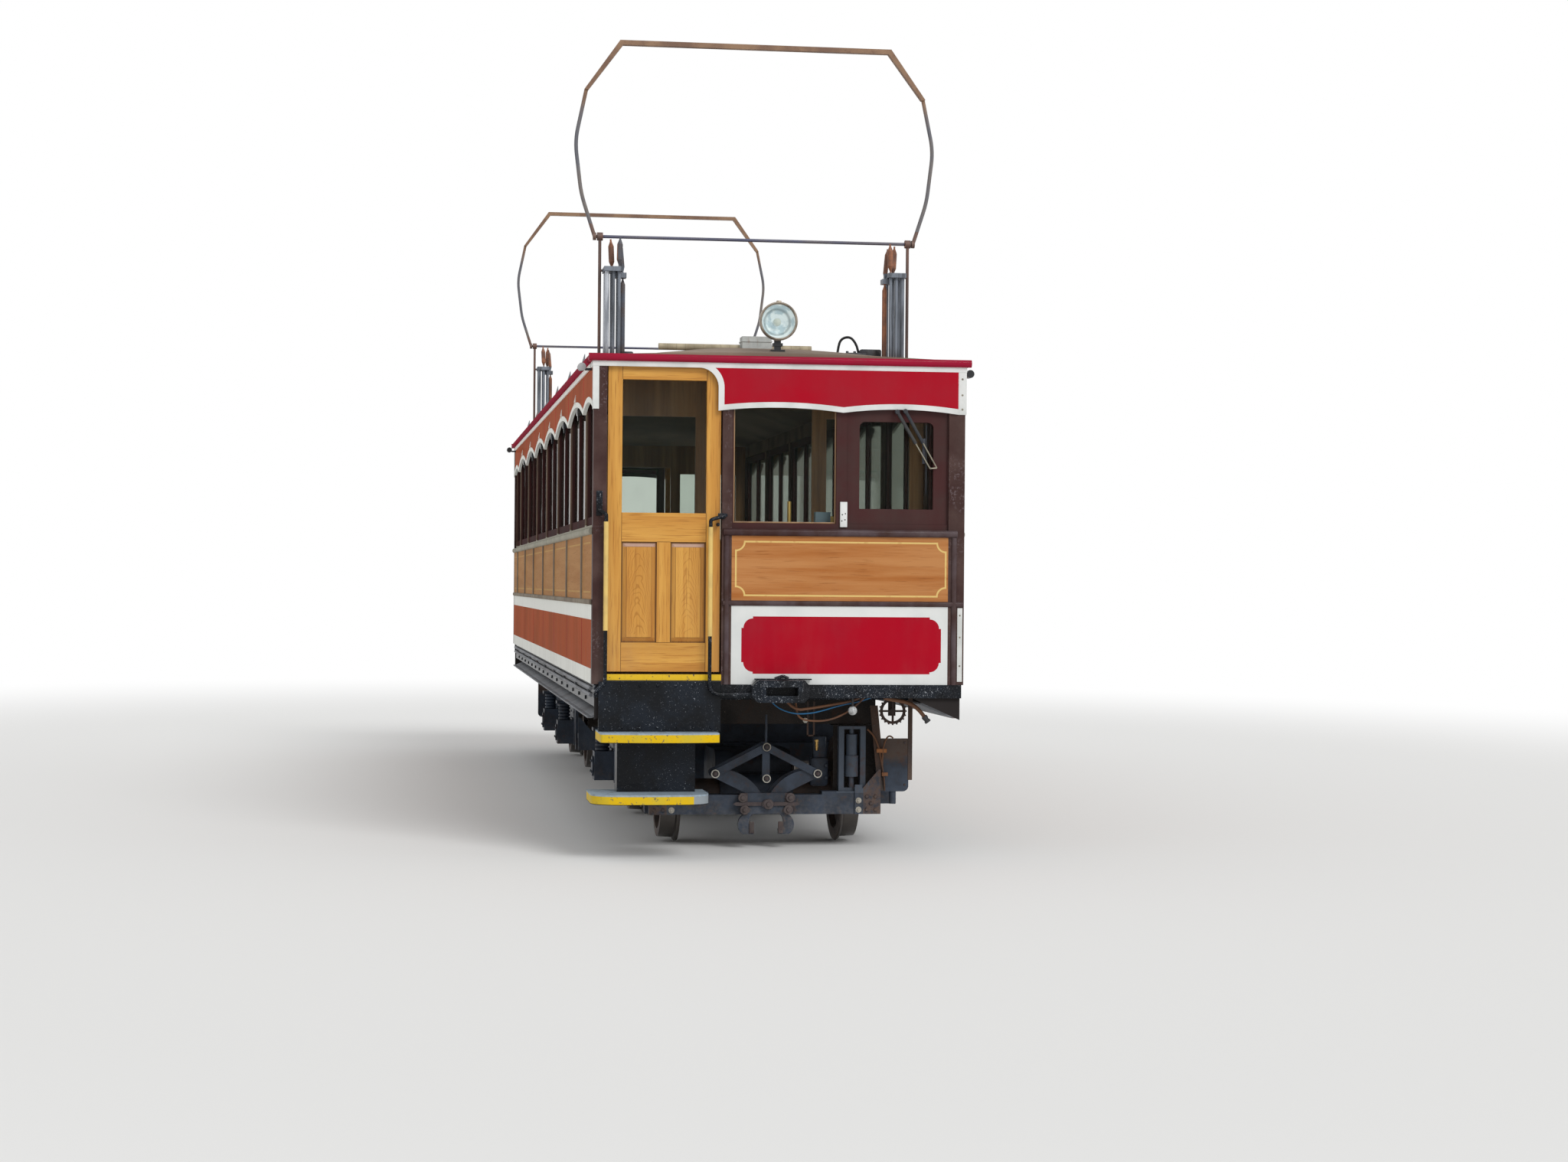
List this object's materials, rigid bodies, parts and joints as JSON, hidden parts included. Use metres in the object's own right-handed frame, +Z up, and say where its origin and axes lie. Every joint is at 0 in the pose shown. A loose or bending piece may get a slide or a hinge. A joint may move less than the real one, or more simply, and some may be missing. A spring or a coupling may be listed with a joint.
{
  "type": "electric mountain tram car",
  "caption": "Wooden-bodied electric tram on two bogies, with end doors, steps, roof bow collectors and a centre-rail brake.",
  "frame": {"origin": "under the middle of the car, level with the wheel flange tips", "axes": "+X towards the leading end, +Y to its left, +Z up"},
  "size_m": [11.0596, 2.3798, 5.03],
  "materials": {
    "underframe_black": "gloss black paint with pale flecks",
    "floor_boards": "worn boards",
    "lower_panels": "gloss red field with white border",
    "varnished_panels": "varnished mid-brown wood with pale lining",
    "post_brown": "gloss chocolate paint",
    "sash_maroon": "gloss maroon paint",
    "glass": "clear",
    "letterboards": "gloss red",
    "white": "gloss white",
    "cornice_red": "gloss red",
    "roof_canvas": "painted canvas on boards",
    "inside_wood": "varnished",
    "seat_cloth": "woven",
    "driving_gear": "painted case with brass",
    "steps": "grey-blue tread with yellow edge",
    "cream_sleeve": "cream",
    "lamp_chrome": "polished",
    "cream_tube": "weathered cream",
    "bow_rust": "rusty",
    "stand_grey": "weathered grey-blue",
    "plate_grey": "dusty grey",
    "bogie_grey": "charcoal with grease",
    "wheel_steel": "bright tread, rusty faces",
    "oak_door": "varnished golden oak"
  },
  "bodies": {
    "car_body": {"solebars": "underframe_black", "cross_members": "underframe_black", "floor": "floor_boards", "lower_panels": "lower_panels", "waist_panels": "varnished_panels", "mouldings": "post_brown", "side_frames": "post_brown", "side_sashes": "sash_maroon", "glazing": "glass", "letterboards": "letterboards", "white_edging": "white", "end_posts": "post_brown", "end_frames": "sash_maroon", "door_hinges": "underframe_black", "cornice": "cornice_red", "cornice_strip": "white", "roof": "roof_canvas", "bulkheads": "inside_wood", "seat_cushions": "seat_cloth", "seat_frames": "inside_wood", "seat_backs": "inside_wood", "driving_gear": "driving_gear", "couplers": "underframe_black", "step_boards": "steps", "step_brackets": "underframe_black", "grab_rails": "underframe_black", "grab_sleeves": "cream_sleeve", "lamps": "lamp_chrome", "roof_tubes": "cream_tube", "bow_stands": "stand_grey", "side_pipes": "plate_grey", "side_plates": "plate_grey", "air_reservoirs": "underframe_black", "brake_chain_gear": "bogie_grey"},
    "bogie_front": {"bogie_sides_front": "bogie_grey", "bogie_cross_beams_front": "bogie_grey", "axleboxes_front": "bogie_grey", "motors_front": "bogie_grey", "brake_gear_front": "bogie_grey", "brake_pots_front": "bogie_grey"},
    "bow_front": {"bow_frame_front": "bow_rust", "contact_bar_front": "bow_rust"},
    "door_leaf_front": {"door_front": "oak_door", "door_glass_front": "glass"},
    "bogie_rear": {"bogie_sides_rear": "bogie_grey", "bogie_cross_beams_rear": "bogie_grey", "axleboxes_rear": "bogie_grey", "motors_rear": "bogie_grey", "brake_gear_rear": "bogie_grey", "brake_pots_rear": "bogie_grey"},
    "bow_rear": {"bow_frame_rear": "bow_rust", "contact_bar_rear": "bow_rust"},
    "door_leaf_rear": {"door_rear": "oak_door", "door_glass_rear": "glass"},
    "axle_1": {"wheelset_1": "wheel_steel"},
    "axle_2": {"wheelset_2": "wheel_steel"},
    "axle_3": {"wheelset_3": "wheel_steel"},
    "axle_4": {"wheelset_4": "wheel_steel"}
  },
  "joints": [
    {"name": "bogie_front_turn", "type": "hinge", "parent": "car_body", "child": "bogie_front", "pos_m": [3.2, 0, 0.75], "axis": [0, 0, 1], "range_deg": [-6, 6]},
    {"name": "bow_front_tilt", "type": "hinge", "parent": "car_body", "child": "bow_front", "pos_m": [4.036, 0, 3.79], "axis": [0, 1, 0], "range_deg": [-30, 30]},
    {"name": "door_front_swing", "type": "hinge", "parent": "car_body", "child": "door_leaf_front", "pos_m": [5.219, -1.017, 2], "axis": [0, 0, 1], "range_deg": [0, 90]},
    {"name": "bogie_rear_turn", "type": "hinge", "parent": "car_body", "child": "bogie_rear", "pos_m": [-3.2, 0, 0.75], "axis": [0, 0, 1], "range_deg": [-6, 6]},
    {"name": "bow_rear_tilt", "type": "hinge", "parent": "car_body", "child": "bow_rear", "pos_m": [-4.036, 0, 3.79], "axis": [0, 1, 0], "range_deg": [-30, 30]},
    {"name": "door_rear_swing", "type": "hinge", "parent": "car_body", "child": "door_leaf_rear", "pos_m": [-5.219, 1.017, 2], "axis": [0, 0, 1], "range_deg": [0, 90]},
    {"name": "axle_1_roll", "type": "hinge", "parent": "bogie_front", "child": "axle_1", "pos_m": [4.24, 0, 0.33], "axis": [0, 1, 0], "continuous": true},
    {"name": "axle_2_roll", "type": "hinge", "parent": "bogie_front", "child": "axle_2", "pos_m": [2.16, 0, 0.33], "axis": [0, 1, 0], "continuous": true},
    {"name": "axle_3_roll", "type": "hinge", "parent": "bogie_rear", "child": "axle_3", "pos_m": [-2.16, 0, 0.33], "axis": [0, 1, 0], "continuous": true},
    {"name": "axle_4_roll", "type": "hinge", "parent": "bogie_rear", "child": "axle_4", "pos_m": [-4.24, 0, 0.33], "axis": [0, 1, 0], "continuous": true}
  ]
}
